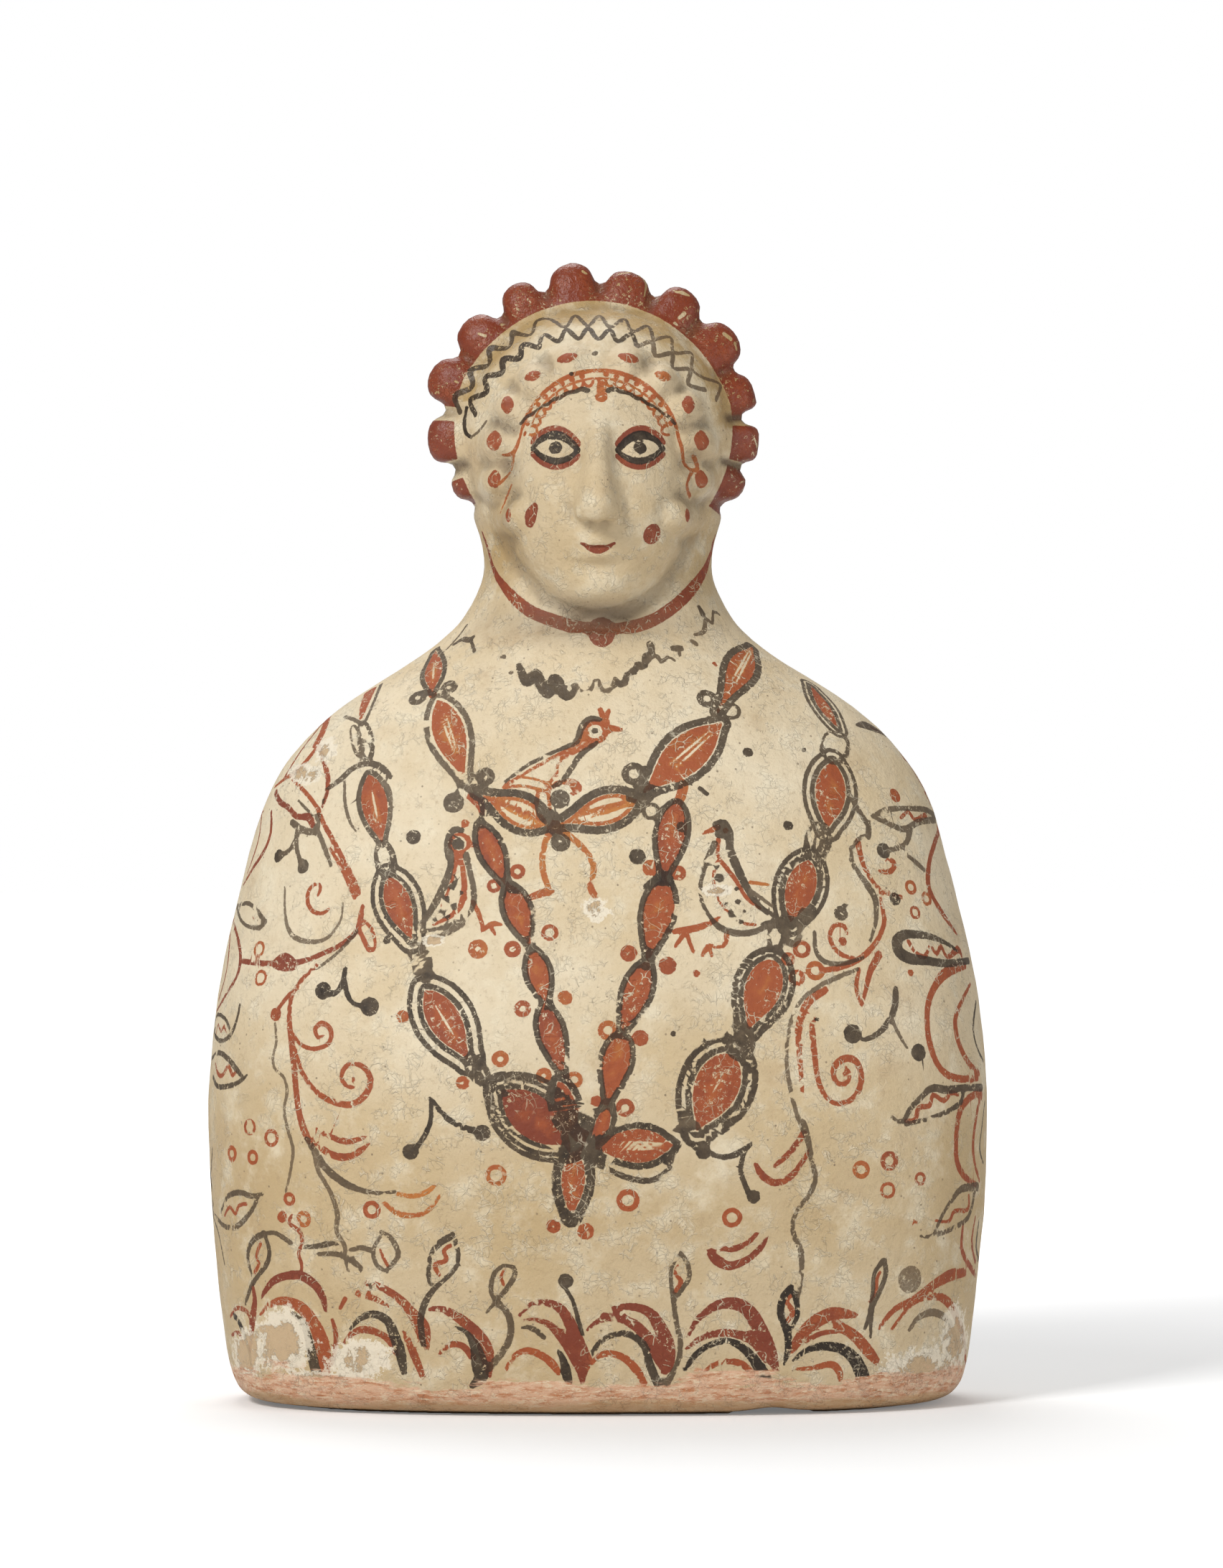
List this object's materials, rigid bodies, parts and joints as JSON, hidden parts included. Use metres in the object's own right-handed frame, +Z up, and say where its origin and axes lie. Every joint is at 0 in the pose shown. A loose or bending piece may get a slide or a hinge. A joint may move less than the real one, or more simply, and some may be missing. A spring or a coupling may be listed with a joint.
{
  "type": "terracotta goddess bust",
  "caption": "Hand-built terracotta bust of a goddess with a scalloped crest, a mask-like face and a slipped, painted, armless body on a flat foot.",
  "frame": {"origin": "middle of the underside that the bust stands on", "axes": "+Z up through the crown, -Y the way the face looks, +X to the left hand of the figure, on the right of the picture"},
  "size_m": [0.3028, 0.168, 0.4398],
  "materials": {
    "painted_terracotta": "matt cream slip with worn red, orange and brown-black painting over fired clay"
  },
  "bodies": {
    "root": {"goddess_bust": "painted_terracotta"}
  },
  "joints": []
}
